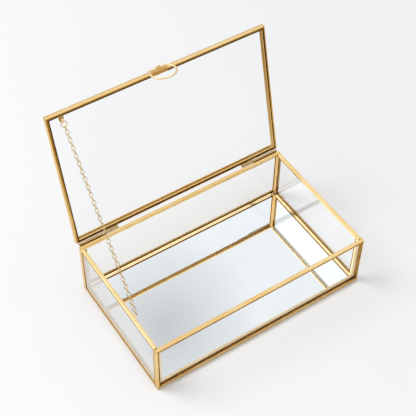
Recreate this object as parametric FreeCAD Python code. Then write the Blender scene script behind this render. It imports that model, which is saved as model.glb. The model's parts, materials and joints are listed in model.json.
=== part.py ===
import FreeCAD, Part
import math
import os

from FreeCAD import Matrix, Placement, Vector

os.makedirs("parts", exist_ok=True)

# Millimetres. X runs to the right, Y to the rear, and Z up from the underside of the base.
width = 200.0
depth = 121.0
height = 54.0

# Brass strip, folded into a U-channel along each edge of each pane
sheet = 0.5
wall_thickness = 3.6
rail_lip = 2.6
corner_lip = 2.4
corner_inner_lip = 5.6
side_corner_lip = 1.8
side_corner_inner_lip = 3.8
bottom_lip = 4.2
bottom_inner_lip = 7.4
edge_round = 0.6

# Mirror floor on flat ledges inside the bottom channels
mirror_thickness = 2.5
mirror_gap = 0.2
ledge_reach = 4.0
ledge_inset = 1.0

# Lid, drawn shut and then swung open about the hinge line
lid_gap = 0.2
lid_thickness = 5.2
lid_lip = 2.8
open_angle = 104.0

# Hinges: a long knuckle on the box and a short one on the lid at each end, on a headed pin
hinge_offset = 1.4
hinge_rise = 0.1
barrel_radius = 1.2
bore_radius = 0.62
pin_radius = 0.57
pin_head_radius = 1.0
pin_head_length = 0.6
box_knuckle_span = (2.0, 26.0)
lid_knuckle_span = (26.2, 38.0)
knuckle_root = 1.4

# Pull: a D-shaped wire ring in a riveted clip on the lid's front channel
clip_length = 15.6
clip_width = 4.9
clip_round = 0.8
clip_sheet = 0.8
clip_rise = 2.6
tongue_half_length = 7.0
tongue_reach = 2.6
tongue_sheet = 0.15
loop_half_length = 1.8
loop_outer = 1.5
loop_bore = 0.95
pull_bar_forward = 2.2
pull_bar_drop = 3.4
pull_wire = 0.85
pull_corner = 2.0
pull_bow = 10.45
pull_bow_drop = 8.05
rivet_spacing = 5.4
rivet_radius = 0.9
rivet_height = 0.5
rivet_crown = 0.55
shank_radius = 0.5

# Stay chain: oval links, every other one turned flat, in runs that fold at their ends
link_wire = 0.4
link_half_width = 1.3
link_corner = 0.75
link_play = 0.25
chain_lid_x = -87.6
chain_box_x = -94.0
chain_box_end = Vector(0, -21.5, 51.4)
chain_runs = [8, 8, 6, 4, 4, 4, 6, 9]

# What holds the chain: an eye plate and a jump ring on the lid, a tab on the box
eye_half_width = 2.5
eye_depth = 6.0
eye_radius = 1.4
eye_wire = 0.45
eye_drop = 1.5
eye_play = 0.05
jump_radius = 2.4
jump_wire = 0.45
ring_sides = 16
tab_thickness = 0.7
tab_half_width = 2.6
tab_round = 1.2
tab_drop = 5.4
tab_top = 0.9

lid_bottom = height + lid_gap
lid_top = lid_bottom + lid_thickness
front_face = -depth / 2
rear_face = depth / 2
hinge_line = Vector(0, rear_face + hinge_offset, height + hinge_rise)

along_x = Vector(1, 0, 0)
along_y = Vector(0, 1, 0)
along_z = Vector(0, 0, 1)


def placed(shape, origin, along, across):
    """The shape with its X turned along one direction, its Y across, and its Z square to both."""
    up = along.cross(across)
    rows = Matrix(
        along.x, across.x, up.x, origin.x,
        along.y, across.y, up.y, origin.y,
        along.z, across.z, up.z, origin.z,
        0, 0, 0, 1,
    )
    moved = shape.copy()
    moved.Placement = Placement(rows)
    return moved


def opened(shape):
    """A piece of the shut lid, swung open about the hinge line."""
    turned = shape.copy()
    turned.rotate(hinge_line, along_x, -open_angle)
    return turned


def channel(length, thickness, lips, start_lips, end_lips):
    """A U of strip along X, open towards +Z, with rounded outer edges and mitred ends.

    Lips are the heights of the outer and inner lips, of this channel and of its two neighbours.
    """
    lip, inner_lip = lips
    bend = edge_round * (1 - math.sqrt(0.5))
    far = thickness - edge_round

    def at(across, rise):
        return Vector(0, across, rise)

    edges = [
        Part.LineSegment(at(0, lip), at(0, edge_round)),
        Part.Arc(at(0, edge_round), at(bend, bend), at(edge_round, 0)),
        Part.LineSegment(at(edge_round, 0), at(far, 0)),
        Part.Arc(at(far, 0), at(thickness - bend, bend), at(thickness, edge_round)),
    ]
    inside = [
        (thickness, edge_round),
        (thickness, inner_lip),
        (thickness - sheet, inner_lip),
        (thickness - sheet, sheet),
        (sheet, sheet),
        (sheet, lip),
        (0, lip),
    ]
    edges += [Part.LineSegment(at(*a), at(*b)) for a, b in zip(inside, inside[1:])]
    profile = Part.Face(Part.Wire([edge.toShape() for edge in edges]))
    outline = [
        (0, 0),
        (length, 0),
        (length - end_lips[0], lip),
        (length - end_lips[1], inner_lip),
        (start_lips[1], inner_lip),
        (start_lips[0], lip),
        (0, 0),
    ]
    if inner_lip == lip:
        outline = [point for index, point in enumerate(outline) if index not in (3, 4)]
    mitre = Part.Face(Part.makePolygon([Vector(x, 0, z) for x, z in outline]))
    bar = profile.extrude(along_x * length)
    return bar.common(mitre.extrude(along_y * thickness)).Solids[0]


def framed_pane(names, origin, along, inward, length, rise, thickness, lips):
    """A pane seated in four channels. Names are the pane, then the bottom, end, top and start ones.

    Lips are a pair for each channel, the outer one and the inner one.
    """
    up = along.cross(inward)
    end = origin + along * length
    corners = [origin, end, end + up * rise, origin + up * rise]
    directions = [along, up, along * -1, up * -1]
    runs = [length, rise, length, rise]
    slot = thickness - 2 * sheet
    pane = Part.makeBox(length - 2 * sheet, slot, rise - 2 * sheet, Vector(sheet, sheet, sheet))
    framed = {names[0]: placed(pane, origin, along, inward)}
    for side, name in enumerate(names[1:]):
        bar = channel(runs[side], thickness, lips[side], lips[side - 1], lips[(side + 1) % 4])
        framed[name] = placed(bar, corners[side], directions[side], inward)
    return framed


def mirror_ledge(length, inset):
    """The flat strip inside a bottom channel, rooted in its web and mitred in plan."""
    root = wall_thickness - 2 * edge_round
    start = inset + ledge_inset
    outline = [
        Vector(start, root, 0),
        Vector(length - start, root, 0),
        Vector(length - start, wall_thickness, 0),
        Vector(length - inset - ledge_reach, wall_thickness + ledge_reach, 0),
        Vector(inset + ledge_reach, wall_thickness + ledge_reach, 0),
        Vector(start, wall_thickness, 0),
        Vector(start, root, 0),
    ]
    return Part.Face(Part.makePolygon(outline)).extrude(along_z * sheet)


def wall(side, ends, origin, along, inward, length, inset, post_lips):
    """One wall of the box: a pane, its four channels, and the ledge on the bottom one."""
    names = [
        side + "_pane",
        side + "_bottom_rail",
        side + "_post_" + ends[1],
        side + "_top_rail",
        side + "_post_" + ends[0],
    ]
    lips = [(bottom_lip, bottom_inner_lip), post_lips, (rail_lip, rail_lip), post_lips]
    built = framed_pane(names, origin, along, inward, length, height, wall_thickness, lips)
    ledge = placed(mirror_ledge(length, inset), origin, along, inward)
    built[names[1]] = built[names[1]].fuse(ledge).removeSplitter().Solids[0]
    return built


def box_walls():
    """The front and rear walls run the full width, and the side walls stand between them."""
    side_length = depth - 2 * wall_thickness
    inner_rear = rear_face - wall_thickness
    half = width / 2
    post_lips = (corner_lip, corner_inner_lip)
    side_lips = (side_corner_lip, side_corner_inner_lip)
    walls = wall("front", ("left", "right"), Vector(-half, front_face, 0), along_x, along_y,
                 width, wall_thickness, post_lips)
    walls.update(wall("rear", ("right", "left"), Vector(half, rear_face, 0), along_x * -1,
                      along_y * -1, width, wall_thickness, post_lips))
    walls.update(wall("left", ("rear", "front"), Vector(-half, inner_rear, 0), along_y * -1,
                      along_x, side_length, 0, side_lips))
    walls.update(wall("right", ("front", "rear"), Vector(half, -inner_rear, 0), along_y,
                      along_x * -1, side_length, 0, side_lips))
    return walls


def base_mirror():
    """The mirror lies on the ledges, with a little play inside the bottom channels."""
    margin = wall_thickness + mirror_gap
    corner = Vector(-width / 2 + margin, front_face + margin, sheet)
    return Part.makeBox(width - 2 * margin, depth - 2 * margin, mirror_thickness, corner)


def mirror_backing():
    """A thin sheet under the mirror that fills the space between the ledges."""
    margin = wall_thickness + ledge_reach + mirror_gap
    corner = Vector(-width / 2 + margin, front_face + margin, 0)
    return Part.makeBox(width - 2 * margin, depth - 2 * margin, sheet, corner)


def shut_lid():
    """The lid's pane and channels, lying shut on the box with the outer face up."""
    names = ["lid_glass", "lid_front_rail", "lid_right_rail", "lid_rear_rail", "lid_left_rail"]
    corner = Vector(-width / 2, front_face, lid_top)
    lips = [(lid_lip, lid_lip)] * 4
    return framed_pane(names, corner, along_x, along_z * -1, width, depth, lid_thickness, lips)


def rod(radius, start, end, across, rise):
    """A round bar along X between two stations."""
    return Part.makeCylinder(radius, end - start, Vector(start, across, rise), along_x)


def mirrored_span(span, side):
    """The two X stations of a span measured in from the left (-1) or right (1) end."""
    return sorted(side * (width / 2 - inset) for inset in span)


def hinge_knuckle(span, side, root_bottom, root_top):
    """A barrel with a root that is soldered to the rear face behind it, bored for the pin."""
    start, end = mirrored_span(span, side)
    barrel = rod(barrel_radius, start, end, hinge_line.y, hinge_line.z)
    corner = Vector(start, rear_face, root_bottom)
    root = Part.makeBox(end - start, hinge_offset, root_top - root_bottom, corner)
    bore = rod(bore_radius, start, end, hinge_line.y, hinge_line.z)
    return barrel.fuse(root).cut(bore).removeSplitter().Solids[0]


def hinge_pin(side):
    """A pin through both knuckles, headed at the box's end."""
    start, end = mirrored_span((box_knuckle_span[0], lid_knuckle_span[1]), side)
    shank = rod(pin_radius, start, end, hinge_line.y, hinge_line.z)
    head_at = start - pin_head_length if side < 0 else end
    head = rod(pin_head_radius, head_at, head_at + pin_head_length, hinge_line.y, hinge_line.z)
    return shank.fuse(head).removeSplitter().Solids[0]


def rivet_shanks(radius, start, end):
    """Two round bars along Y at the rivets' places."""
    middle = lid_bottom + clip_rise
    return [
        Part.makeCylinder(radius, end - start, Vector(x, start, middle), along_y)
        for x in (-rivet_spacing, rivet_spacing)
    ]


def pull_bar_line():
    """The middle of the pull's bar, with the lid shut."""
    return Vector(0, front_face - pull_bar_forward, lid_top - pull_bar_drop)


def pull_clip():
    """A plate on the front channel with a loop for the bar, and a thin tongue folded under the lid."""
    line = pull_bar_line()
    middle = lid_bottom + clip_rise
    outer = front_face - clip_sheet
    corner = Vector(-clip_length / 2, outer, middle - clip_width / 2)
    plate = Part.makeBox(clip_length, clip_sheet, clip_width, corner)
    corners = [edge for edge in plate.Edges if edge.BoundBox.YLength > clip_sheet / 2]
    plate = plate.makeFillet(clip_round, corners)
    loop = rod(loop_outer, -loop_half_length, loop_half_length, line.y, line.z)
    bore = rod(loop_bore, -loop_half_length, loop_half_length, line.y, line.z)
    tongue_corner = Vector(-tongue_half_length, outer, lid_bottom - tongue_sheet)
    tongue = Part.makeBox(2 * tongue_half_length, clip_sheet + tongue_reach, tongue_sheet, tongue_corner)
    fold = Part.makeBox(2 * tongue_half_length, clip_sheet, clip_width / 2, tongue_corner)
    clip = plate.fuse([loop, tongue, fold]).cut(bore)
    return clip.cut(rivet_shanks(shank_radius, outer, front_face)).removeSplitter().Solids[0]


def pull_rivets():
    """Two rivets with tapered heads through the clip and the front channel's web."""
    outer = front_face - clip_sheet
    rivets = []
    for shank in rivet_shanks(shank_radius - 0.02, outer, front_face + sheet):
        middle = shank.BoundBox.Center
        base = Vector(middle.x, outer, middle.z)
        head = Part.makeCone(rivet_radius, rivet_crown, rivet_height, base, along_y * -1)
        rivets.append(head.fuse(shank).removeSplitter().Solids[0])
    return Part.makeCompound(rivets)


def bent_wire(centre, direction, side, path, wire, sides=6):
    """A closed ring of many-sided wire, bent in straight steps along a path of (along, across) points.

    Direction and side are unit vectors along and across the ring.
    """
    normal = direction.cross(side)
    count = len(path)
    sections = []
    for index, (a, b) in enumerate(path):
        before = path[index - 1]
        after = path[(index + 1) % count]
        lead = math.atan2(b - before[1], a - before[0])
        leave = math.atan2(after[1] - b, after[0] - a)
        bend = (leave - lead + math.pi) % (2 * math.pi) - math.pi
        outward = lead + bend / 2 - math.pi / 2
        spread = wire / math.cos(bend / 2)
        middle = centre + direction * a + side * b
        out = direction * math.cos(outward) + side * math.sin(outward)
        corners = [math.radians(360 * (step + 0.5) / sides) for step in range(sides)]
        sections.append([
            middle + out * (spread * math.cos(turn)) + normal * (wire * math.sin(turn))
            for turn in corners
        ])
    faces = []
    for index, section in enumerate(sections):
        following = sections[(index + 1) % count]
        for step in range(sides):
            beside = (step + 1) % sides
            quad = [section[step], following[step], following[beside], section[beside], section[step]]
            faces.append(Part.Face(Part.makePolygon(quad)))
    ring = Part.Solid(Part.Shell(faces))
    if ring.Volume < 0:
        ring.reverse()
    return ring


def arc_points(centre, radius, start, end, steps):
    """Points along an arc between two angles in degrees, ends included."""
    turns = [math.radians(start + (end - start) * step / steps) for step in range(steps + 1)]
    return [(centre[0] + radius * math.cos(t), centre[1] + radius * math.sin(t)) for t in turns]


def pull_ring():
    """A wire ring: a round bar in the loop, two tight corners, and a bow of more than half a turn."""
    line = pull_bar_line()
    rise = pull_bow_drop - pull_corner
    bar_half = math.sqrt((pull_bow - pull_corner) ** 2 - rise ** 2)
    touch = math.degrees(math.atan2(rise, bar_half))
    bar = rod(pull_wire, -bar_half, bar_half, line.y, line.z)
    right = arc_points((bar_half, -pull_corner), pull_corner, 90, touch, 3)
    bow = arc_points((0, -pull_bow_drop), pull_bow, touch, -180 - touch, 20)
    left = arc_points((-bar_half, -pull_corner), pull_corner, 180 - touch, 90, 3)
    path = right + bow[1:-1] + left
    bent = bent_wire(line, along_x, along_z, path, pull_wire - 0.01, 12)
    return bar.fuse(bent).removeSplitter().Solids[0]


def oval_path(half_length):
    """A link's middle line: two straight sides with the corners cut at 45 degrees."""
    end = half_length - link_corner
    path = [
        (half_length, link_corner - link_half_width),
        (half_length, link_half_width - link_corner),
        (end, link_half_width),
        (-end, link_half_width),
    ]
    return path + [(-a, -b) for a, b in path]


def round_path(radius):
    """A ring's middle line: a regular outline whose flats lie at the radius."""
    step = 2 * math.pi / ring_sides
    corner = radius / math.cos(step / 2)
    turns = [step * (index + 0.5) for index in range(ring_sides)]
    return [(corner * math.cos(turn), corner * math.sin(turn)) for turn in turns]


def chain_lid_end():
    """Where the chain hangs from its jump ring, and the direction it runs in, with the lid shut."""
    eye = Vector(chain_lid_x, front_face + lid_lip + eye_depth / 2, lid_bottom - eye_drop)
    hang = eye - along_z * (eye_radius - eye_wire - jump_wire - eye_play)
    reach = Vector(0, 2 * jump_radius, 0)
    for _ in range(12):
        end = opened(Part.Vertex(hang + reach)).Point
        pull = (chain_box_end - Vector(0, end.y, end.z)).normalize()
        turned = Part.Vertex(pull)
        turned.rotate(Vector(0, 0, 0), along_x, open_angle)
        reach = turned.Point * (2 * jump_radius)
    return eye, hang, reach


def chain_eye_lid():
    """A small plate against the glass, soldered to the front channel's lip, with a round eye."""
    eye = chain_lid_end()[0]
    corner = Vector(chain_lid_x - eye_half_width, front_face + lid_lip, lid_bottom)
    plate = Part.makeBox(2 * eye_half_width, eye_depth, sheet, corner)
    ring = bent_wire(eye, along_y, along_z, round_path(eye_radius), eye_wire)
    return plate.fuse(ring).removeSplitter().Solids[0]


def chain_ring_lid():
    """The round jump ring in the eye, pulled towards the far end of the chain."""
    _, hang, reach = chain_lid_end()
    direction = reach / reach.Length
    return bent_wire(hang + reach * 0.5, direction, along_x, round_path(jump_radius), jump_wire)


def chain():
    """The runs of the straight chain, from the open lid down to the box."""
    _, hang, reach = chain_lid_end()
    start = opened(Part.Vertex(hang + reach)).Point
    start.x = 0
    run = chain_box_end - start
    direction = run / run.Length
    flat_across = direction.cross(along_x)
    pitch = run.Length / sum(chain_runs)
    half_length = (pitch + 2 * link_wire + link_play) / 2
    runs = []
    index = 0
    for count in chain_runs:
        links = []
        for _ in range(count):
            station = (index + 1) * pitch - half_length
            across = chain_lid_x + (chain_box_x - chain_lid_x) * station / run.Length
            centre = start + direction * station + along_x * across
            side = flat_across if index % 2 == 0 else along_x
            links.append(bent_wire(centre, direction, side, oval_path(half_length), link_wire))
            index += 1
        runs.append(Part.makeCompound(links))
        fold = start + direction * (index * pitch)
        print("fold after run", len(runs), round(fold.y, 4), round(fold.z, 4))
    print("chain starts", round(start.y, 4), round(start.z, 4), "pitch", round(pitch, 4))
    return runs


def chain_tab_box():
    """A tab on the inner lip of the left top channel, beside the last link."""
    inner = -width / 2 + wall_thickness
    corner = Vector(inner, chain_box_end.y - tab_half_width, height - tab_top - tab_drop)
    tab = Part.makeBox(tab_thickness, 2 * tab_half_width, tab_drop, corner)
    corners = [edge for edge in tab.Edges if edge.BoundBox.XLength > tab_thickness / 2]
    return tab.makeFillet(tab_round, corners)


pieces = box_walls()
pieces["base_mirror"] = base_mirror()
pieces["mirror_backing"] = mirror_backing()
for name, shape in shut_lid().items():
    pieces[name] = opened(shape)
holes = rivet_shanks(shank_radius, front_face, front_face + sheet)
pieces["lid_front_rail"] = pieces["lid_front_rail"].cut([opened(hole) for hole in holes]).Solids[0]

for side, side_name in ((-1, "left"), (1, "right")):
    root_top = height + hinge_rise
    pieces["hinge_knuckle_box_" + side_name] = hinge_knuckle(
        box_knuckle_span, side, height - knuckle_root, root_top)
    pieces["hinge_knuckle_lid_" + side_name] = opened(hinge_knuckle(
        lid_knuckle_span, side, lid_bottom, lid_bottom + knuckle_root))
    pieces["hinge_pin_" + side_name] = hinge_pin(side)

pieces["pull_clip"] = opened(pull_clip())
pieces["pull_rivets"] = opened(pull_rivets())
pieces["pull_ring"] = opened(pull_ring())
pieces["chain_eye_lid"] = opened(chain_eye_lid())
pieces["chain_ring_lid"] = opened(chain_ring_lid())
pieces["chain_tab_box"] = chain_tab_box()
for number, run_of_links in enumerate(chain(), 1):
    pieces["chain_run_%d" % number] = run_of_links

for name, shape in pieces.items():
    shape.exportStep("parts/%s.step" % name)
    print(name, shape.isValid(), len(shape.Solids), round(shape.Volume, 2))

bar_line = opened(Part.Vertex(pull_bar_line())).Point
print("pull bar", round(bar_line.y, 4), round(bar_line.z, 4))
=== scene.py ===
import bpy
import bmesh
import json
import math
import numpy as np
from mathutils import Matrix, Vector


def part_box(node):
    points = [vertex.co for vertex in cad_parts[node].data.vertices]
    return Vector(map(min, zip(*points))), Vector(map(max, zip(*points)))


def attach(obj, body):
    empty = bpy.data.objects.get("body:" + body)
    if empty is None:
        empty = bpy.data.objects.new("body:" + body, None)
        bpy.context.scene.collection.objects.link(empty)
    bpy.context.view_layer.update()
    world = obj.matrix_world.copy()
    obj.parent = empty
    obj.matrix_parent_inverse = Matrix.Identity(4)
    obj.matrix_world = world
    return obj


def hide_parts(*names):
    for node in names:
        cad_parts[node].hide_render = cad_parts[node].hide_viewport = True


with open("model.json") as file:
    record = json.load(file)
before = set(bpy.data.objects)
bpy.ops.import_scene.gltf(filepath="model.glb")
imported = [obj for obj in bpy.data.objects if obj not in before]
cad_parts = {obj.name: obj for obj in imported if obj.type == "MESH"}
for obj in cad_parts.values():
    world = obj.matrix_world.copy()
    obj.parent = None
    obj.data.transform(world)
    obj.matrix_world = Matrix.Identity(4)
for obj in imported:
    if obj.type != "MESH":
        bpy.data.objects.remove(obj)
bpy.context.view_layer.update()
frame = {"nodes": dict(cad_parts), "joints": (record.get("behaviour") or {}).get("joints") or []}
nodes = frame["nodes"]
joints = {joint["name"]: joint for joint in frame["joints"]}
mm = 0.001


# Mesh helpers: points are in millimetres, faces are rows of point numbers

def gridFaces(rows, columns, closedRows, closedColumns):
    # one face for each cell of the grid, wrapping round where a side is closed
    rowSteps = np.arange(rows if closedRows else rows - 1)
    columnSteps = np.arange(columns if closedColumns else columns - 1)
    row, column = np.meshgrid(rowSteps, columnSteps, indexing="ij")
    nextRow, nextColumn = (row + 1) % rows, (column + 1) % columns
    corners = [row * columns + column, nextRow * columns + column,
               nextRow * columns + nextColumn, row * columns + nextColumn]
    return np.stack(corners, -1).reshape(-1, 4).tolist()


def cappedFaces(rows, columns):
    # a grid closed round its columns, with a flat face over its first and its last row
    last = (rows - 1) * columns
    caps = [list(range(columns)), list(range(last + columns - 1, last - 1, -1))]
    return gridFaces(rows, columns, False, True) + caps


def tube(path, normal, radius, sides, closed):
    # point + radius * (cos turn * outward + sin turn * normal),
    # for a path that lies flat across the normal
    ahead = np.roll(path, -1, 0) - np.roll(path, 1, 0) if closed else np.gradient(path, axis=0)
    ahead = ahead / np.linalg.norm(ahead, axis=1)[:, None]
    outward = np.cross(ahead, normal)
    turn = np.linspace(0, 2 * np.pi, sides, endpoint=False)[None, :, None]
    points = path[:, None] + radius * (np.cos(turn) * outward[:, None] + np.sin(turn) * normal)
    faces = gridFaces(len(path), sides, True, True) if closed else cappedFaces(len(path), sides)
    return points.reshape(-1, 3), faces


def dome(centre, axis, side, radius, height, closing, rings, sides):
    # a shallow cap: radius * cos rise across, height * sin rise along the axis, to a small flat top
    rise = np.linspace(0, np.pi / 2 * closing, rings)[:, None, None]
    turn = np.linspace(0, 2 * np.pi, sides, endpoint=False)[:, None]
    axis, side = np.array(axis, float), np.array(side, float)
    spoke = np.cos(turn) * side + np.sin(turn) * np.cross(axis, side)
    points = np.array(centre) + radius * np.cos(rise) * spoke + height * np.sin(rise) * axis
    return points.reshape(-1, 3), cappedFaces(rings, sides)


def slab(low, high, edge, across):
    # four outlines through the thickness: inset, full, full, inset,
    # so that the edges are ground at 45 degrees
    low, high = np.array(low, float), np.array(high, float)
    first, second = [axis for axis in range(3) if axis != across]
    middle, half = (low + high) / 2, (high - low) / 2
    insets = np.array([edge, 0, 0, edge])[:, None]
    depths = np.array([low[across], low[across] + edge, high[across] - edge, high[across]])
    signs = np.array([(-1, -1), (1, -1), (1, 1), (-1, 1)])
    points = np.zeros((4, 4, 3))
    points[..., first] = middle[first] + signs[:, 0] * (half[first] - insets)
    points[..., second] = middle[second] + signs[:, 1] * (half[second] - insets)
    points[..., across] = depths[:, None]
    return points.reshape(-1, 3), cappedFaces(4, 4)


def joined(parts):
    starts = np.cumsum([0] + [len(points) for points, _ in parts])
    points = np.concatenate([points for points, _ in parts])
    faces = [[corner + int(start) for corner in face]
             for (_, part), start in zip(parts, starts) for face in part]
    return points, faces


def turnOutward(mesh):
    shell = bmesh.new()
    shell.from_mesh(mesh)
    bmesh.ops.recalc_face_normals(shell, faces=shell.faces)
    shell.to_mesh(mesh)
    shell.free()


def makePiece(name, shape, material, body, stoodFor=(), sharpAngle=40, marks=None):
    points, faces = shape
    mesh = bpy.data.meshes.new(name)
    mesh.from_pydata((points * mm).tolist(), [], faces)
    mesh.polygons.foreach_set("use_smooth", np.ones(len(mesh.polygons), bool))
    for key, values in (marks or {}).items():
        kind, field = ("FLOAT_VECTOR", "vector") if values.ndim == 2 else ("FLOAT", "value")
        layer = mesh.attributes.new(key, kind, "POINT")
        layer.data.foreach_set(field, values.astype(np.float32).ravel())
    mesh.materials.append(material)
    turnOutward(mesh)
    mesh.set_sharp_from_angle(angle=math.radians(sharpAngle))
    piece = bpy.data.objects.new(name, mesh)
    bpy.context.scene.collection.objects.link(piece)
    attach(piece, body)
    if stoodFor:
        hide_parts(*stoodFor)
    piece.visible_glossy = body == "box"  # reflections show the box alone


# Materials: a noise is given as its scale and detail

def newMaterial(name):
    material = bpy.data.materials.new(name)
    material.use_nodes = True
    tree = material.node_tree
    return material, tree, tree.nodes["Principled BSDF"]


def addNode(tree, kind, **values):
    node = tree.nodes.new(kind)
    for key, value in values.items():
        if key in node.inputs:
            node.inputs[key].default_value = value
        else:
            setattr(node, key, value)
    return node


def noiseAt(tree, scale, detail, stretch=(1, 1, 1), attribute=None):
    if attribute:
        place = addNode(tree, "ShaderNodeAttribute", attribute_name=attribute).outputs["Vector"]
    else:
        place = addNode(tree, "ShaderNodeTexCoord").outputs["Object"]
    mapping = addNode(tree, "ShaderNodeMapping", Scale=stretch)
    noise = addNode(tree, "ShaderNodeTexNoise", Scale=scale, Detail=detail)
    tree.links.new(place, mapping.inputs["Vector"])
    tree.links.new(mapping.outputs["Vector"], noise.inputs["Vector"])
    return noise.outputs["Fac"]


def ramp(tree, source, span, colours):
    node = addNode(tree, "ShaderNodeValToRGB")
    for stop, position, colour in zip(node.color_ramp.elements, span, colours):
        stop.position, stop.color = position, (*colour, 1)
    tree.links.new(source, node.inputs["Fac"])
    return node.outputs["Color"]


def spread(tree, source, low, high, start=0.0, end=1.0):
    # low at the start of the source's span, high at its end
    node = addNode(tree, "ShaderNodeMapRange")
    for key, value in (("From Min", start), ("From Max", end), ("To Min", low), ("To Max", high)):
        node.inputs[key].default_value = value
    tree.links.new(source, node.inputs["Value"])
    return node.outputs["Result"]


def combined(tree, operation, first, second):
    node = addNode(tree, "ShaderNodeMath", operation=operation)
    for socket, value in zip(node.inputs, (first, second)):
        if isinstance(value, (int, float)):
            socket.default_value = value
        else:
            tree.links.new(value, socket)
    return node.outputs["Value"]


def mixed(tree, share, first, second):
    node = addNode(tree, "ShaderNodeMix", data_type="RGBA")
    if isinstance(share, float):
        node.inputs["Factor"].default_value = share
    else:
        tree.links.new(share, node.inputs["Factor"])
    for socket, value in ((node.inputs["A"], first), (node.inputs["B"], second)):
        if isinstance(value, tuple):
            socket.default_value = (*value, 1)
        else:
            tree.links.new(value, socket)
    return node.outputs["Result"]


def addBump(tree, shader, height, strength, distance):
    bump = addNode(tree, "ShaderNodeBump", Strength=strength, Distance=distance)
    tree.links.new(height, bump.inputs["Height"])
    tree.links.new(bump.outputs["Normal"], shader.inputs["Normal"])


brassLook = {
    "pale": (0.88, 0.69, 0.38),
    "deep": (0.80, 0.56, 0.25),
    # brown serves as painted shade as well as real patina and seams; bright is the cream of painted
    # highlights on the strips, and a pale tint on wire and ring
    "brown": (0.075, 0.028, 0.003),
    "rim": (1.0, 0.85, 0.60),
    "bright": (0.98, 0.93, 0.80),
    "amber": (0.66, 0.37, 0.06),
    "clouds": (45.0, 4.0), "cloudSpan": (0.35, 0.65),
    "stripLines": (1.0, 3.0), "lineStretch": (0.05, 9.0, 1.0),  # along, across, from strip to strip
    "wireLines": (900.0, 2.0),
    "blotches": (240.0, 4.0), "blotchSpan": (0.3, 0.7), "blotchShare": (0.75, 1.25),
    "spots": (200.0, 3.0), "spotShare": (0.7, 1.3),
    "brightAt": -1.0, "amberAt": 0.5, "brownAt": 1.0,  # on the scale of the painted light and patina mark
    "roughness": (0.12, 0.22), "dullness": 0.45,
    "dullMetal": 0.1, "dustSpan": (0.5, 1.0),  # dust takes the place of bare metal on dull faces
    "bump": (0.05, 0.0002),
}


def makeBrass(name, strip=False, brownShare=0.0, paleShare=0.0, paleColour="bright", metal=1.0):
    # clouds of handling in the colour and fine polishing lines;
    # folded strip is bright, amber or brown by a mark that holds painted highlights, painted shade,
    # real patina and dark seams
    material, tree, shader = newMaterial(name)
    shader.inputs["Metallic"].default_value = metal
    shader.inputs["Specular Tint"].default_value = (*brassLook["rim"], 1)
    clouds = noiseAt(tree, *brassLook["clouds"])
    colour = ramp(tree, clouds, brassLook["cloudSpan"], (brassLook["deep"], brassLook["pale"]))
    if strip:
        lines = noiseAt(tree, *brassLook["stripLines"], brassLook["lineStretch"], "strip")
        paintedLightAndPatina = addNode(tree, "ShaderNodeAttribute", attribute_name="paintedLightAndPatina").outputs["Fac"]
        blotches = noiseAt(tree, *brassLook["blotches"])
        blotch = spread(tree, blotches, *brassLook["blotchShare"], *brassLook["blotchSpan"])
        share = combined(tree, "MULTIPLY", paintedLightAndPatina, blotch)
        # painted highlight: the mark below 0 turns the brass cream; above 0, amber and brown are
        # partly painted shade and partly real patina and seams
        bright = spread(tree, paintedLightAndPatina, 1.0, 0.0, brassLook["brightAt"], 0.0)
        amber = spread(tree, share, 0.0, 1.0, 0.0, brassLook["amberAt"])
        brown = spread(tree, share, 0.0, 1.0, brassLook["amberAt"], brassLook["brownAt"])
        colour = mixed(tree, bright, colour, brassLook["bright"])
        colour = mixed(tree, amber, colour, brassLook["amber"])
        colour = mixed(tree, brown, colour, brassLook["brown"])
        dull = addNode(tree, "ShaderNodeAttribute", attribute_name="dull").outputs["Fac"]
        bare = spread(tree, dull, 1.0, brassLook["dullMetal"], *brassLook["dustSpan"])
        tree.links.new(bare, shader.inputs["Metallic"])
        dull = spread(tree, dull, 0.0, brassLook["dullness"])
        roughness = combined(tree, "ADD", spread(tree, lines, *brassLook["roughness"]), dull)
    else:
        lines = noiseAt(tree, *brassLook["wireLines"])
        low, high = (brownShare * factor for factor in brassLook["spotShare"])
        spots = spread(tree, noiseAt(tree, *brassLook["spots"]), low, high)
        colour = mixed(tree, spots, colour, brassLook["brown"])
        colour = mixed(tree, paleShare, colour, brassLook[paleColour])
        roughness = spread(tree, lines, *brassLook["roughness"])
    tree.links.new(colour, shader.inputs["Base Color"])
    tree.links.new(roughness, shader.inputs["Roughness"])
    addBump(tree, shader, lines, *brassLook["bump"])
    return material


brassStrip = makeBrass("brassStrip", strip=True)
brassWire = makeBrass("brassWire", paleShare=0.12)
brassRing = makeBrass("brassRing", paleShare=0.2)
# brown spots over half the hinge knuckles are painted shade of the slot between lid and box
brassHinge = makeBrass("brassHinge", brownShare=0.55)
brassClip = makeBrass("brassClip", brownShare=0.1, paleShare=0.65, paleColour="amber", metal=0.6)
brassChain = makeBrass("brassChain", brownShare=0.22)

glassLook = {
    "tint": (0.994, 0.998, 0.997), "ior": 1.5, "smears": (25.0, 3.0), "roughness": (0.0, 0.02),
    "shine": 0.25, "leftShine": 2.8, "rightShine": 1.5,
}


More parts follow.
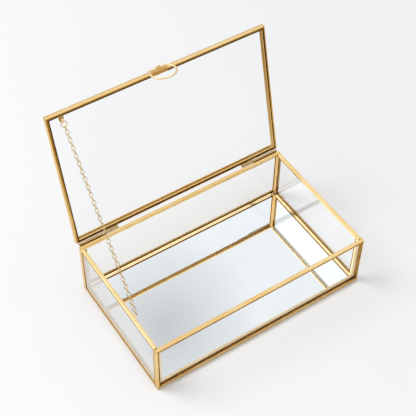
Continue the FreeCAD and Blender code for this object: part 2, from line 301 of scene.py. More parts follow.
def makeGlass(name, shine):
    # thin clear panes with a faint green cast: light goes straight through,
    # and the outward faces gloss by Fresnel times the pane's shine
    material, tree, shader = newMaterial(name)
    tree.nodes.remove(shader)
    clear = addNode(tree, "ShaderNodeBsdfTransparent", Color=(*glassLook["tint"], 1))
    gloss = addNode(tree, "ShaderNodeBsdfGlossy")
    smears = noiseAt(tree, *glassLook["smears"])
    tree.links.new(spread(tree, smears, *glassLook["roughness"]), gloss.inputs["Roughness"])
    edge = addNode(tree, "ShaderNodeFresnel", IOR=glassLook["ior"])
    side = addNode(tree, "ShaderNodeNewGeometry")
    outer = spread(tree, side.outputs["Backfacing"], shine, 0.0)
    share = combined(tree, "MULTIPLY", edge.outputs["Fac"], outer)
    share.node.use_clamp = True
    mix = addNode(tree, "ShaderNodeMixShader")
    tree.links.new(share, mix.inputs["Fac"])
    tree.links.new(clear.outputs["BSDF"], mix.inputs[1])
    tree.links.new(gloss.outputs["BSDF"], mix.inputs[2])
    tree.links.new(mix.outputs["Shader"], tree.nodes["Material Output"].inputs["Surface"])
    return material


clearGlass = makeGlass("clearGlass", glassLook["shine"])
leftGlass = makeGlass("leftGlass", glassLook["leftShine"])
rightGlass = makeGlass("rightGlass", glassLook["rightShine"])

mirrorLook = {
    "worn": (0.75, 0.78, 0.795), "silver": (0.78, 0.81, 0.825),
    "silvering": (18.0, 3.0), "span": (0.3, 0.7), "roughness": (0.015, 0.03),
}


def makeMirror():
    # silvered glass: faint uneven silvering and a little surface haze
    material, tree, shader = newMaterial("silveredGlass")
    shader.inputs["Metallic"].default_value = 1.0
    silvering = noiseAt(tree, *mirrorLook["silvering"])
    colour = ramp(tree, silvering, mirrorLook["span"], (mirrorLook["worn"], mirrorLook["silver"]))
    tree.links.new(colour, shader.inputs["Base Color"])
    tree.links.new(spread(tree, silvering, *mirrorLook["roughness"]), shader.inputs["Roughness"])
    return material


silveredGlass = makeMirror()

feltLook = {
    "dark": (0.030, 0.026, 0.024), "light": (0.060, 0.053, 0.049),
    "nap": (1500.0, 4.0), "span": (0.3, 0.7),
    "roughness": 0.95, "sheen": 0.3, "bump": (0.4, 0.0002),
}


def makeFelt():
    # short dark nap under the mirror
    material, tree, shader = newMaterial("darkFelt")
    shader.inputs["Roughness"].default_value = feltLook["roughness"]
    shader.inputs["Sheen Weight"].default_value = feltLook["sheen"]
    nap = noiseAt(tree, *feltLook["nap"])
    colour = ramp(tree, nap, feltLook["span"], (feltLook["dark"], feltLook["light"]))
    tree.links.new(colour, shader.inputs["Base Color"])
    addBump(tree, shader, nap, *feltLook["bump"])
    return material


darkFelt = makeFelt()
print("materials", len(bpy.data.materials))


# Folded strip: every wall and the lid is a pane in four mitred channels

def sizeOf(name):
    low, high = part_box(name)
    return np.array(high - low) / mm


hingeAt = np.array(joints["lid_hinge"]["pos_m"]) / mm
openAngle = math.radians(joints["lid_hinge"]["range_deg"][1])
boxLow = np.array(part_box("front_bottom_rail")[0]) / mm
boxHigh = np.array(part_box("rear_top_rail")[1]) / mm
width, depth, height = boxHigh - boxLow
halfWidth, halfDepth = width / 2, depth / 2
wallThickness = sizeOf("front_post_left")[1]
innerDepth = halfDepth - wallThickness

stripSet = {
    "sheet": 0.5, "bend": 0.6, "cutSide": 0.15, "cut": 0.1,  # cut edges are eased by these
    "bottomLips": (4.2, 7.4), "railLips": (2.6, 2.6),  # outer and inner lip
    "postLips": (2.4, 5.6), "sidePostLips": (1.8, 3.8),
    "lidThickness": 5.2, "lidLips": (2.8, 2.8), "lidGap": 0.2,
    "crown": 0.14, "wave": 0.02, "waveLength": 23.0, "waveStart": 1.7,
    "waveShares": (0.6, 0.4), "waveRatio": 1.63, "waveLag": 2,
    "faceSteps": 9, "bendSteps": 6, "step": 3.0, "fewest": 6,
    "seamSteps": (0, 0.12, 0.3, 0.6), "seamEnd": 0.01, "lineShift": 7,
}

# The painted light and patina mark runs from bright at -1 through plain brass at 0 and amber at 0.5
# to brown at 1: below 0 it is painted highlight, above 0 it is partly painted shade and partly real
# patina and dark seams
paintedLightAndWearSet = {
    # painted shade: brown along the lips' cut edges, where they meet the glass
    "outerBrown": 0.9, "innerBrown": 1.5, "edgePower": 6,  # brown along the lips' cut edges
    "seamBrown": 0.8, "seamReach": 0.18,
    # painted light: the inner lip's hidden side is cream from its cut down to the share given per
    # face, though the channel keeps it in shade
    "paintedLightTop": 0.1, "paintedLightFade": 0.06, "paintedLight": (-0.25, -0.2), "deepStep": 0.1,
    # painted shade: the outer lip's hidden side is brown by the deep mark and at its cut
    "outerDeep": 0.7, "outerCut": 0.2,
    "paintedLightDull": 1.0, "brownDull": 0.75, "cutDull": 0.5, "outerDull": 0.4,
    "lidInner": (0.3, 0.4, 0.85, 0.3),  # front, right, rear, left
}

# The painted light and patina mark of each face of a strip, how far its edges are painted brown
# shade from the cut in millimetres, and the share of the inner lip's hidden side that is painted
# cream
# deep: the lower hidden side of the inner lip, brown painted shade where above 0, cream painted
# light where below 0
paintedLightAndWearOf = {
    # inner: the inner lip's inside face; cream on posts and side bottoms is painted highlight
    "post": {"inner": -0.7, "innerReach": 1.35, "outerReach": 1.25, "paintedLightShare": 0.7, "deep": 0.4},
    "sideRail": {"inner": 0.05, "innerReach": 0.35, "outerReach": 1.7, "paintedLightShare": 0.44,
                 "deep": -0.4, "web": 0.1},
    # foot: brown on the bottom bend, painted shade where the strip meets the floor
    "sideBottom": {"inner": -0.7, "innerReach": 3.0, "outerReach": 0.6, "paintedLightShare": 0.6,
                   "deep": -0.2, "outer": 0.6, "foot": 0.9},
    "lid": {"innerReach": 1.0, "outerReach": 0.6, "paintedLightShare": 0.44, "deep": 0.3},
}
paintedLightAndWearOf["frontRail"] = {**paintedLightAndWearOf["sideRail"], "deep": 0.25, "web": 0.35}
paintedLightAndWearOf["rearRail"] = {**paintedLightAndWearOf["frontRail"], "web": 0.7}
paintedLightAndWearOf["longBottom"] = {**paintedLightAndWearOf["sideBottom"], "deep": 0.6, "outer": 0.0}


def stripProfile(thickness, lips, paintedLightAndWear):
    # outline of the folded strip: outer lip, bend, web, bend, inner lip, then back along the inside
    # columns: across, rise, outward normal (2), share of the crown, painted light and patina,
    # dullness
    lip, innerLip = lips
    bend, sheet, cut = stripSet["bend"], stripSet["sheet"], stripSet["cut"]
    outer, foot, web = (paintedLightAndWear.get(face, 0.0) for face in ("outer", "foot", "web"))
    inner, deep, paintedLightShare = paintedLightAndWear["inner"], paintedLightAndWear["deep"], paintedLightAndWear["paintedLightShare"]
    u = np.linspace(0, 1, stripSet["faceSteps"])
    crown = (2 * u - 1) ** 2
    turn = np.linspace(0, np.pi / 2, stripSet["bendSteps"])[1:-1]
    cos, sin = np.cos(turn), np.sin(turn)

    def rows(across, rise, normal, crowned, paintedLightAndPatina, dull=0.0):
        return np.stack(np.broadcast_arrays(across, rise, *normal, crowned, paintedLightAndPatina, dull), 1)

    def nearCut(distance, reach):
        return np.exp(-(distance / reach) ** paintedLightAndWearSet["edgePower"])

    outerRise = lip - cut + (bend - lip + cut) * u
    innerRise = bend + (innerLip - cut - bend) * u
    # painted shade: brown spreading in from each lip's cut edge
    outerPaintedLightAndPatina = outer + paintedLightAndWearSet["outerBrown"] * nearCut(lip - outerRise, paintedLightAndWear["outerReach"])
    innerShare = nearCut(innerLip - innerRise, paintedLightAndWear["innerReach"])
    innerPaintedLightAndPatina = inner + (paintedLightAndWearSet["innerBrown"] - inner) * innerShare
    down = np.array([paintedLightAndWearSet["paintedLightTop"], paintedLightShare, paintedLightShare + paintedLightAndWearSet["paintedLightFade"], 1])
    paintedLightDull = paintedLightAndWearSet["paintedLightDull"]
    deepDull = paintedLightDull if deep < 0 else paintedLightAndWearSet["brownDull"]
    hidden = (0.0, 0.0)  # faces inside the channel stay flat
    return np.concatenate([
        rows(0.0, outerRise, (-1.0, 0.0), crown, outerPaintedLightAndPatina),
        rows(bend * (1 - cos), bend * (1 - sin), (-cos, -sin), 1.0, foot),
        rows(bend + (thickness - 2 * bend) * u, 0.0, (0.0, -1.0), crown, web * crown),
        rows(thickness - bend * (1 - sin), bend * (1 - cos), (sin, -cos), 1.0, inner),
        rows(thickness, innerRise, (1.0, 0.0), crown, innerPaintedLightAndPatina),
        rows(np.array([thickness - stripSet["cutSide"], thickness - sheet + cut]), innerLip,
             hidden, 0.0, 0.0, paintedLightAndWearSet["cutDull"]),
        # the inner lip's hidden side: painted light in cream at the top, then the deep mark below
        rows(thickness - sheet, innerLip - down * (innerLip - sheet), hidden, 0.0,
             np.array([*paintedLightAndWearSet["paintedLight"], deep + paintedLightAndWearSet["deepStep"], deep]),
             np.array([paintedLightDull, paintedLightDull, deepDull, deepDull])),
        # the outer lip's hidden side: brown painted shade
        rows(np.array([sheet, sheet, sheet - cut, stripSet["cutSide"]]),
             np.array([sheet, lip - cut, lip, lip]), hidden, 0.0,
             np.array([deep, paintedLightAndWearSet["outerDeep"] * deep, *[paintedLightAndWearSet["outerCut"]] * 2]),
             paintedLightAndWearSet["outerDull"]),
    ])


def channel(number, length, thickness, lips, startLips, endLips, paintedLightAndWear):
    # the profile carried along X; each point starts and stops on the mitre,
    # and faces are crowned and swell along their length by two slow sine waves
    profile = stripProfile(thickness, lips, paintedLightAndWear)
    across, rise, outAcross, outRise, crown, paintedLightAndPatina, dull = profile.T
    heights = [0, *lips] if lips[1] > lips[0] else [0, lips[0]]
    start = np.interp(rise, heights, [0, *startLips][:len(heights)])
    stop = length - np.interp(rise, heights, [0, *endLips][:len(heights)])
    seam = np.array(stripSet["seamSteps"]) / length
    steps = max(stripSet["fewest"], int(length / stripSet["step"]))
    middle = np.linspace(stripSet["seamEnd"], 1 - stripSet["seamEnd"], steps)
    share = np.concatenate([seam, middle, 1 - seam[::-1]])[:, None]
    along = start + (stop - start) * share
    turn = 2 * np.pi * along / stripSet["waveLength"] + number * stripSet["waveStart"]
    first, second = stripSet["waveShares"]
    slow = np.sin(stripSet["waveRatio"] * turn + stripSet["waveLag"])
    wave = stripSet["wave"] * (1 + first * np.sin(turn) + second * slow)
    inset = stripSet["crown"] * crown + wave
    points = np.stack([along, across - inset * outAcross, rise - inset * outRise], -1)

    fromEnd = np.minimum(share, 1 - share) * length
    seamShare = paintedLightAndWearSet["seamBrown"] * np.exp(-(fromEnd / paintedLightAndWearSet["seamReach"]) ** 2)
    paintedLightAndPatina = paintedLightAndPatina + (1 - paintedLightAndPatina) * seamShare
    dull = np.broadcast_to(dull, paintedLightAndPatina.shape)
    walk = np.cumsum(np.hypot(np.diff(across, prepend=across[0]), np.diff(rise, prepend=rise[0])))
    strip = np.stack(np.broadcast_arrays(along, walk, float(number * stripSet["lineShift"])), -1)
    marks = {"paintedLightAndPatina": paintedLightAndPatina.ravel(), "dull": dull.ravel(), "strip": strip.reshape(-1, 3)}
    return points.reshape(-1, 3), cappedFaces(len(share), len(profile)), marks


def openLid(points):
    # turns points of the shut lid about the hinge line, to the open rest
    across, rise = points[:, 1] - hingeAt[1], points[:, 2] - hingeAt[2]
    cos, sin = math.cos(-openAngle), math.sin(-openAngle)
    return np.stack([points[:, 0], hingeAt[1] + across * cos - rise * sin,
                     hingeAt[2] + across * sin + rise * cos], 1)


stripCount = 0


def frameOfStrip(names, body, origin, along, inward, length, rise, thickness, lips, paintedLightAndWears):
    # four channels round a rectangle, in turn from its origin: along, up, back and down
    global stripCount
    origin, along, inward = (np.array(vector, float) for vector in (origin, along, inward))
    up = np.cross(along, inward)
    corners = [origin, origin + along * length,
               origin + along * length + up * rise, origin + up * rise]
    directions = [along, up, -along, -up]
    for side, name in enumerate(names):
        points, faces, marks = channel(
            stripCount, (length, rise)[side % 2], thickness,
            lips[side], lips[side - 1], lips[(side + 1) % 4], paintedLightAndWears[side])
        basis = np.stack([directions[side], inward, np.cross(directions[side], inward)])
        points = corners[side] + points @ basis
        if body == "lid":
            points = openLid(points)
        makePiece(name + "Strip", (points, faces), brassStrip, body, [name], marks=marks)
        stripCount += 1


def wallOfStrip(side, ends, origin, along, inward, length, postLips):
    start, end = ends
    names = [side + "_bottom_rail", side + "_post_" + end,
             side + "_top_rail", side + "_post_" + start]
    lips = [stripSet["bottomLips"], postLips, stripSet["railLips"], postLips]
    bottom = paintedLightAndWearOf["longBottom" if side in ("front", "rear") else "sideBottom"]
    rail = paintedLightAndWearOf.get(side + "Rail", paintedLightAndWearOf["sideRail"])
    paintedLightAndWears = [bottom, paintedLightAndWearOf["post"], rail, paintedLightAndWearOf["post"]]
    frameOfStrip(names, "box", origin, along, inward, length, height, wallThickness, lips, paintedLightAndWears)


for side, ends, origin, along, inward, length, lipsName in (
        ("front", ("left", "right"), (-halfWidth, -halfDepth, 0), (1, 0, 0), (0, 1, 0),
         width, "postLips"),
        ("rear", ("right", "left"), (halfWidth, halfDepth, 0), (-1, 0, 0), (0, -1, 0),
         width, "postLips"),
        ("left", ("rear", "front"), (-halfWidth, innerDepth, 0), (0, -1, 0), (1, 0, 0),
         2 * innerDepth, "sidePostLips"),
        ("right", ("front", "rear"), (halfWidth, -innerDepth, 0), (0, 1, 0), (-1, 0, 0),
         2 * innerDepth, "sidePostLips")):
    wallOfStrip(side, ends, origin, along, inward, length, stripSet[lipsName])

lidBottom = height + stripSet["lidGap"]
lidTop = lidBottom + stripSet["lidThickness"]
frameOfStrip(["lid_front_rail", "lid_right_rail", "lid_rear_rail", "lid_left_rail"], "lid",
             (-halfWidth, -halfDepth, lidTop), (1, 0, 0), (0, 0, -1), width, depth,
             stripSet["lidThickness"], [stripSet["lidLips"]] * 4,
             [{**paintedLightAndWearOf["lid"], "inner": inner} for inner in paintedLightAndWearSet["lidInner"]])
print("strips", stripCount)


# The ledge under the mirror: four flat strips, seen from below

ledgeSet = {"reach": 4.0, "thickness": 0.5, "edge": 0.1}


def makeLedge():
    outer = np.array([halfWidth - wallThickness, innerDepth])
    inner = outer - ledgeSet["reach"]
    top = ledgeSet["thickness"]
    strips = [
        ((-outer[0], -outer[1], 0), (outer[0], -inner[1], top)),
        ((-outer[0], inner[1], 0), (outer[0], outer[1], top)),
        ((-outer[0], -inner[1], 0), (-inner[0], inner[1], top)),
        ((inner[0], -inner[1], 0), (outer[0], inner[1], top)),
    ]
    ledge = joined([slab(low, high, ledgeSet["edge"], 2) for low, high in strips])
    makePiece("mirrorLedge", ledge, brassWire, "box")


makeLedge()


# Glass: panes a hair thinner than their channels' slots, with ground edges

paneCut = {"clearance": 0.06, "edge": 0.25, "mirror": (0.01, 0.03), "sharpAngle": 20}


def paneFor(name, across, clearance=paneCut["clearance"], edge=paneCut["edge"]):
    low, high = (np.array(corner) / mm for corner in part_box(name))
    return slab(low + clearance, high - clearance, edge, across)


def dressNode(name, material):
    nodes[name].data.materials.clear()
    nodes[name].data.materials.append(material)


for name, across, glass in (("front_pane", 1, clearGlass), ("rear_pane", 1, clearGlass),
                            ("left_pane", 0, leftGlass), ("right_pane", 0, rightGlass)):
    makePiece(name + "Glass", paneFor(name, across), glass, "box", [name],
              paneCut["sharpAngle"])
makePiece("mirrorGlass", paneFor("base_mirror", 2, *paneCut["mirror"]), silveredGlass, "box",
          ["base_mirror"], paneCut["sharpAngle"])

lidInset = stripSet["sheet"] + paneCut["clearance"]
lidPoints, lidFaces = slab(
    (-halfWidth + lidInset, -halfDepth + lidInset, lidBottom + lidInset),
    (halfWidth - lidInset, halfDepth - lidInset, lidTop - lidInset), paneCut["edge"], 2)
makePiece("lidGlass", (openLid(lidPoints), lidFaces), clearGlass, "lid", ["lid_glass"],
          paneCut["sharpAngle"])
dressNode("mirror_backing", darkFelt)
print("glass done")


# Hinges keep the shapes that they were loaded with

for name in [name for name in nodes if name.startswith("hinge_")]:
    dressNode(name, brassHinge)
    nodes[name].visible_glossy = "_lid_" not in name
print("hinges done")


# Pull: a clip with a loop, domed rivets,
# and a wire ring with a straight bar, tight corners and a wide bow

pullSet = {
    "forward": 2.2, "drop": 3.4, "wire": 0.84, "corner": 2.0, "bow": 10.45, "bowDrop": 8.05,
    "barSteps": 8, "cornerSteps": 8, "bowSteps": 64, "sides": 20,
}
rivetSet = {
    "spacing": 5.4, "radius": 0.9, "height": 0.5, "rise": 2.6,
    "closing": 0.97, "rings": 7, "sides": 24,
}
clipSet = {
    "half": 7.8, "low": 0.15, "high": 5.05, "sheet": 0.8, "edge": 0.22,
    "tongueHalf": 7.0, "tongueReach": 2.6, "tongueSheet": 0.15, "tongueEdge": 0.05,
    "loopHalf": 1.8, "loopOuter": 1.5, "loopBore": 0.95, "loopEdge": 0.12, "loopSides": 28,
}


def arc(centre, radius, start, end, count):
    # centre + radius * (cos turn, sin turn), from the start angle to the end angle in degrees
    turn = np.radians(np.linspace(start, end, count))
    return np.stack([centre[0] + radius * np.cos(turn), centre[1] + radius * np.sin(turn)], 1)


def collar(centre, bore, outer, halfLength, edge, sides):
    # a short pipe along X: its section of (radius, along) points, turned round the axis
    turn = np.linspace(0, 2 * np.pi, sides, endpoint=False)[:, None]
    section = np.array([
        (bore, -halfLength), (outer - edge, -halfLength), (outer, edge - halfLength),
        (outer, halfLength - edge), (outer - edge, halfLength), (bore, halfLength)])
    radius, along = section.T
    points = np.stack(np.broadcast_arrays(along, radius * np.cos(turn), radius * np.sin(turn)), -1)
    return (np.array(centre) + points).reshape(-1, 3), gridFaces(sides, len(section), True, True)


def ringOutline():
    # the bar on top, a corner, the bow below and the other corner, as (sideways, rise)
    corner, bow, drop = pullSet["corner"], pullSet["bow"], pullSet["bowDrop"]
    half = math.sqrt((bow - corner) ** 2 - (drop - corner) ** 2)
    touch = math.degrees(math.atan2(drop - corner, half))
    bar = np.linspace(-half, half, pullSet["barSteps"], endpoint=False)
    return np.concatenate([
        np.stack([bar, np.zeros_like(bar)], 1),
        arc((half, -corner), corner, 90, touch, pullSet["cornerSteps"])[:-1],
        arc((0, -drop), bow, touch, -180 - touch, pullSet["bowSteps"])[:-1],
        arc((-half, -corner), corner, 180 - touch, 90, pullSet["cornerSteps"])[:-1],
    ])


def makePull():
    barY, barZ = -halfDepth - pullSet["forward"], lidTop - pullSet["drop"]
    outline = ringOutline()
    path = np.stack([outline[:, 0], np.full(len(outline), barY), barZ + outline[:, 1]], 1)
    points, faces = tube(path, np.array([0, 1.0, 0]), pullSet["wire"], pullSet["sides"], True)
    makePiece("pullRing", (openLid(points), faces), brassRing, "pull", ["pull_ring"])

    outer = -halfDepth - clipSet["sheet"]
    plate = slab((-clipSet["half"], outer, lidBottom + clipSet["low"]),
                 (clipSet["half"], -halfDepth, lidBottom + clipSet["high"]), clipSet["edge"], 1)
    tongue = slab((-clipSet["tongueHalf"], outer, lidBottom - clipSet["tongueSheet"]),
                  (clipSet["tongueHalf"], clipSet["tongueReach"] - halfDepth, lidBottom),
                  clipSet["tongueEdge"], 2)
    loop = collar((0, barY, barZ), clipSet["loopBore"], clipSet["loopOuter"], clipSet["loopHalf"],
                  clipSet["loopEdge"], clipSet["loopSides"])
    points, faces = joined([plate, tongue, loop])
    makePiece("pullClipPlate", (openLid(points), faces), brassClip, "lid", ["pull_clip"])

    heads = [dome((x, outer, lidBottom + rivetSet["rise"]), (0, -1, 0), (1, 0, 0),
                  rivetSet["radius"], rivetSet["height"], rivetSet["closing"],
                  rivetSet["rings"], rivetSet["sides"])
             for x in (-rivetSet["spacing"], rivetSet["spacing"])]
    points, faces = joined(heads)
    makePiece("pullRivetHeads", (openLid(points), faces), brassClip, "lid",
              ["pull_rivets"])


makePull()
print("pull done")


# Stay chain: oval wire links, every other one turned flat, in runs between the fold joints

chainSet = {
    "wire": 0.29, "halfWidth": 1.3, "overlap": 1.05, "counts": (8, 8, 6, 4, 4, 4, 6, 9),
    "endSteps": 7, "sides": 8, "lidX": -87.6, "boxX": -94.0,
}


def linkLoop(halfLength):
    # a link's middle line: half circles joined by straight sides, as (along, across)
    straight = halfLength - chainSet["halfWidth"]
    right = arc((straight, 0), chainSet["halfWidth"], -90, 90, chainSet["endSteps"])
    left = arc((-straight, 0), chainSet["halfWidth"], 90, 270, chainSet["endSteps"])
    return np.concatenate([right, left])


def makeChain():
    # links stand one pitch apart on the straight line through the first two folds,
    # drifting sideways from the eye on the lid to the tab on the box
    counts = chainSet["counts"]
    first, second = (np.array(joints[fold]["pos_m"])[1:] / mm
                     for fold in ("chain_fold_1", "chain_fold_2"))
    reach = np.linalg.norm(second - first)
    ahead = np.array([0, *(second - first) / reach])
    pitch = reach / counts[0]
    total = sum(counts)
    halfLength = (pitch + chainSet["overlap"]) / 2
    loop = linkLoop(halfLength)
    flatSide, acrossSide = np.array([1.0, 0, 0]), np.cross(ahead, (1, 0, 0))
    done = 0
    for number, count in enumerate(counts, 1):
        links = []
        for index in range(done, done + count):
            station = (index + 1) * pitch - halfLength
            drift = (chainSet["boxX"] - chainSet["lidX"]) * station / (total * pitch)
            centre = np.array([chainSet["lidX"] + drift, *first]) + ahead * station
            side = acrossSide if index % 2 == 0 else flatSide
            path = centre + loop[:, :1] * ahead + loop[:, 1:] * side
            normal = np.cross(ahead, side)
            links.append(tube(path, normal, chainSet["wire"], chainSet["sides"], True))
        makePiece("chainRun%d" % number, joined(links), brassChain,
                  "chain_run_%d" % number, ["chain_run_%d" % number])
        done += count
    return first + ahead[1:] * pitch * total, ahead[1:]


chainEnd, chainAhead = makeChain()


# What holds the chain: an eye plate and jump ring on the lid, a tab with a staple on the box

holdSet = {
    "plateHalf": 2.5, "plateTip": 1.5, "plateDepth": 6.0, "plateEdge": 0.12, "tipSteps": 13,
    "eyeRadius": 1.4, "eyeWire": 0.43, "eyeDrop": 1.5, "eyeSteps": 28,
    "jumpRadius": 2.4, "jumpWire": 0.4, "jumpSteps": 32, "wireSides": 10,
    "tabThickness": 0.7, "tabHalf": 2.6, "tabLow": 6.3, "tabHigh": 0.9, "tabRound": 1.2,
    "tabEdge": 0.12, "tabSteps": 7,
    "stapleWire": 0.3, "stapleReach": 2.5, "stapleDrop": 1.6, "stapleSink": 0.1, "stapleSteps": 15,
    "hookInset": 0.75,
}


def wireRing(centre, first, second, radius, wire, steps):
    # centre + radius * (cos turn * first + sin turn * second), with wire carried round it
    turn = np.linspace(0, 2 * np.pi, steps, endpoint=False)[:, None]
    first, second = np.array(first, float), np.array(second, float)
    path = np.array(centre) + radius * (np.cos(turn) * first + np.sin(turn) * second)
    return tube(path, np.cross(first, second), wire, holdSet["wireSides"], True)


def sheetOf(outline, low, high, edge):
    # an outline of (first, second) points, drawn in a little at both faces,
    # as (first, second, through)
    middle = outline.mean(0)
    half = np.abs(outline - middle).max(0)
    shares = [1 - edge / half, np.ones(2), np.ones(2), 1 - edge / half]
    depths = [low, low + edge, high - edge, high]
    points = np.concatenate([
        np.column_stack([middle + (outline - middle) * share, np.full(len(outline), depth)])
        for share, depth in zip(shares, depths)])
    return points, cappedFaces(len(depths), len(outline))


def makeEye():
    x, front = chainSet["lidX"], -halfDepth + stripSet["lidLips"][1]
    tip = front + holdSet["plateDepth"]
    outline = np.concatenate([
        [(x - holdSet["plateHalf"], front), (x + holdSet["plateHalf"], front)],
        arc((x, tip - holdSet["plateTip"]), holdSet["plateTip"], 0, 180, holdSet["tipSteps"]),
    ])
    plate = sheetOf(outline, lidBottom, lidBottom + stripSet["sheet"], holdSet["plateEdge"])
    eyeAt = (x, front + holdSet["plateDepth"] / 2, lidBottom - holdSet["eyeDrop"])
    eye = wireRing(eyeAt, (0, 1, 0), (0, 0, 1),
                   holdSet["eyeRadius"], holdSet["eyeWire"], holdSet["eyeSteps"])
    points, faces = joined([plate, eye])
    makePiece("chainEye", (openLid(points), faces), brassWire, "lid", ["chain_eye_lid"])


def makeJumpRing():
    low, high = (np.array(corner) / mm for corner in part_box("chain_ring_lid"))
    ring = wireRing((low + high) / 2, (0, *chainAhead), (1, 0, 0),
                    holdSet["jumpRadius"], holdSet["jumpWire"], holdSet["jumpSteps"])
    makePiece("chainJumpRing", ring, brassChain, "lid", ["chain_ring_lid"])


def makeTab():
    inner = wallThickness - halfWidth
    face = inner + holdSet["tabThickness"]
    low, high = height - holdSet["tabLow"], height - holdSet["tabHigh"]
    near, far = chainEnd[0] - holdSet["tabHalf"], chainEnd[0] + holdSet["tabHalf"]
    turn, steps = holdSet["tabRound"], holdSet["tabSteps"]
    outline = np.concatenate([
        arc((far - turn, high - turn), turn, 0, 90, steps),
        arc((near + turn, high - turn), turn, 90, 180, steps),
        arc((near + turn, low + turn), turn, 180, 270, steps),
        arc((far - turn, low + turn), turn, 270, 360, steps),
    ])
    points, faces = sheetOf(outline, inner, face, holdSet["tabEdge"])
    tab = points[:, [2, 0, 1]], faces

    hook = chainEnd - holdSet["hookInset"] * chainAhead
    start, bend = face - holdSet["stapleSink"], holdSet["stapleDrop"] / 2
    bowAt = (face + holdSet["stapleReach"] - bend, hook[1] - bend)
    bow = arc(bowAt, bend, 90, -90, holdSet["stapleSteps"])
    outline = np.concatenate([[(start, hook[1])], bow, [(start, hook[1] - 2 * bend)]])
    path = np.stack([outline[:, 0], np.full(len(outline), hook[0]), outline[:, 1]], 1)
    staple = tube(path, np.array([0, 1.0, 0]), holdSet["stapleWire"], holdSet["wireSides"], False)
    makePiece("chainTab", joined([tab, staple]), brassWire, "box", ["chain_tab_box"])


makeEye()
makeJumpRing()
makeTab()
print("chain done")


# Floor, light and camera, in metres

floorLook = {
    "near": (0.90, 0.90, 0.905), "far": (0.38, 0.25, 0.10), "farSpan": (-0.26, -0.10),
    "size": 6.0, "drop": 0.0001, "roughness": 0.9, "specular": 0.1,
}


def makeFloor():
    # pale paper; in reflections it darkens in front, as a lit table does towards a dim room
    reach = floorLook["size"] / 2
    corners = [(-reach, -reach, 0), (reach, -reach, 0), (reach, reach, 0), (-reach, reach, 0)]
    mesh = bpy.data.meshes.new("floor")
    mesh.from_pydata(corners, [], [(0, 1, 2, 3)])
    floor = bpy.data.objects.new("floor", mesh)
    floor.location.z = -floorLook["drop"]
    bpy.context.scene.collection.objects.link(floor)
    paper, tree, shader = newMaterial("paper")
    place = addNode(tree, "ShaderNodeTexCoord")
    parts = addNode(tree, "ShaderNodeSeparateXYZ")
    tree.links.new(place.outputs["Object"], parts.inputs["Vector"])
    far = spread(tree, parts.outputs["Y"], 1.0, 0.0, *floorLook["farSpan"])
    kind = addNode(tree, "ShaderNodeLightPath")
    bounced = combined(tree, "SUBTRACT", kind.outputs["Is Glossy Ray"],
                       kind.outputs["Is Transmission Ray"])
    share = combined(tree, "MULTIPLY", far, bounced)
    share.node.use_clamp = True
    colour = mixed(tree, share, floorLook["near"], floorLook["far"])
    tree.links.new(colour, shader.inputs["Base Color"])
    shader.inputs["Roughness"].default_value = floorLook["roughness"]
    shader.inputs["Specular IOR Level"].default_value = floorLook["specular"]
    mesh.materials.append(paper)


makeFloor()

tentLook = {
    "colour": (0.98, 0.985, 1.0), "plainLight": 0.645, "backdrop": 0.9,
    "lean": 0.3, "glow": (0.45, 1.15), "leanSpan": (0.2, 0.6),
    "dimPatch": (0.282, 0.487, 0.826), "dimGlow": (0.66, 0.99), "dimSpan": (0.0, 0.09),
    "sideSpan": (0.257, 0.268),
    "softbox": (-0.40, 0.52, 0.759), "softboxGlow": 1.6, "softboxSpan": (0.93, 0.97),
    "frontGlow": 1.2, "frontSpan": (-0.5, -0.2), "highSpan": (0.55, 0.7),
}


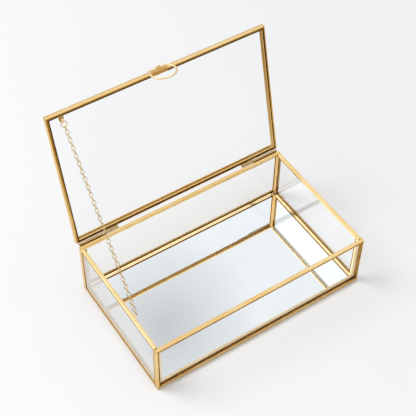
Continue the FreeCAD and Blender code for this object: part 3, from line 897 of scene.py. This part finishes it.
def makeWorld():
    # gloss sees a bright tent overhead and behind that falls off low in front, with a dim patch,
    # a soft light at the left and a glow high in front that dull faces don't pass on;
    # the camera sees a pale backdrop, and the rest of the light is plain
    world = bpy.data.worlds.new("studio")
    bpy.context.scene.world = world
    world.use_nodes = True
    tree = world.node_tree
    direction = addNode(tree, "ShaderNodeTexCoord").outputs["Generated"]
    kind = addNode(tree, "ShaderNodeLightPath")
    parts = addNode(tree, "ShaderNodeSeparateXYZ")
    tree.links.new(direction, parts.inputs["Vector"])
    x, y, z = (parts.outputs[axis] for axis in "XYZ")

    def compared(operation, place):
        node = addNode(tree, "ShaderNodeVectorMath", operation=operation)
        node.inputs[1].default_value = place
        tree.links.new(direction, node.inputs[0])
        return node.outputs["Value"]

    lean = combined(tree, "ADD", z, combined(tree, "MULTIPLY", y, tentLook["lean"]))
    rise = spread(tree, lean, *tentLook["glow"], *tentLook["leanSpan"])
    away = compared("DISTANCE", tentLook["dimPatch"])
    dim = spread(tree, away, *tentLook["dimGlow"], *tentLook["dimSpan"])
    side = spread(tree, x, tentLook["dimGlow"][1], 0.0, *tentLook["sideSpan"])
    tent = combined(tree, "MULTIPLY", rise, combined(tree, "MAXIMUM", dim, side))
    towards = compared("DOT_PRODUCT", Vector(tentLook["softbox"]).normalized())
    softbox = spread(tree, towards, 0.0, tentLook["softboxGlow"], *tentLook["softboxSpan"])
    tent = combined(tree, "ADD", tent, softbox)
    front = spread(tree, y, tentLook["frontGlow"], 0.0, *tentLook["frontSpan"])
    front = combined(tree, "MULTIPLY", front, spread(tree, z, 0.0, 1.0, *tentLook["highSpan"]))
    front = combined(tree, "MULTIPLY", front, spread(tree, kind.outputs["Diffuse Depth"], 1.0, 0.0))
    tent = combined(tree, "ADD", tent, front)
    plain = spread(tree, kind.outputs["Is Camera Ray"],
                   tentLook["plainLight"], tentLook["backdrop"])
    strength = addNode(tree, "ShaderNodeMix", data_type="FLOAT")
    tree.links.new(kind.outputs["Is Glossy Ray"], strength.inputs["Factor"])
    tree.links.new(plain, strength.inputs["A"])
    tree.links.new(tent, strength.inputs["B"])
    background = tree.nodes["Background"]
    background.inputs["Color"].default_value = (*tentLook["colour"], 1)
    tree.links.new(strength.outputs["Result"], background.inputs["Strength"])


makeWorld()

lightSet = {
    "keyLight": {"place": (-1.25, 1.05, 2.3), "aim": (0, 0, 0.05), "size": 1.5, "power": 35.0},
    "fillLight": {"place": (-1.1, -1.7, 0.3), "aim": (0, 0, 0.02), "size": 0.8, "power": 20.0},
}


def addLight(name, place, aim, size, power):
    data = bpy.data.lights.new(name, "AREA")
    data.shape = "DISK"
    data.size = size
    data.energy = power
    light = bpy.data.objects.new(name, data)
    light.location = place
    light.rotation_euler = (Vector(aim) - Vector(place)).to_track_quat("-Z", "Y").to_euler()
    light.visible_glossy = light.visible_transmission = False
    bpy.context.scene.collection.objects.link(light)


for name, settings in lightSet.items():
    addLight(name, **settings)

cameraSet = {
    "azimuth": 34.045, "elevation": 49.415, "roll": 0.953,
    "focalPixels": 1065.8, "imagePixels": 416, "sensor": 36.0,
    "place": (-0.31434, -0.44377, 0.73316),
}


def addCamera():
    # looks along the azimuth (from +Y towards +X) and down by the elevation, then rolls
    azimuth, elevation, roll = (math.radians(cameraSet[key])
                                for key in ("azimuth", "elevation", "roll"))
    level = math.cos(elevation)
    ahead = Vector((math.sin(azimuth) * level, math.cos(azimuth) * level, -math.sin(elevation)))
    right = Vector((math.cos(azimuth), -math.sin(azimuth), 0))
    up = right.cross(ahead)
    rolledRight = right * math.cos(roll) + up * math.sin(roll)
    rolledUp = up * math.cos(roll) - right * math.sin(roll)
    data = bpy.data.cameras.new("camera")
    data.sensor_width = cameraSet["sensor"]
    data.lens = cameraSet["focalPixels"] / cameraSet["imagePixels"] * cameraSet["sensor"]
    camera = bpy.data.objects.new("camera", data)
    turn = Matrix((rolledRight, rolledUp, -ahead)).transposed()
    camera.matrix_world = Matrix.Translation(cameraSet["place"]) @ turn.to_4x4()
    bpy.context.scene.collection.objects.link(camera)
    bpy.context.scene.camera = camera


addCamera()
bpy.context.scene.view_settings.view_transform = "Standard"
print("stage done")
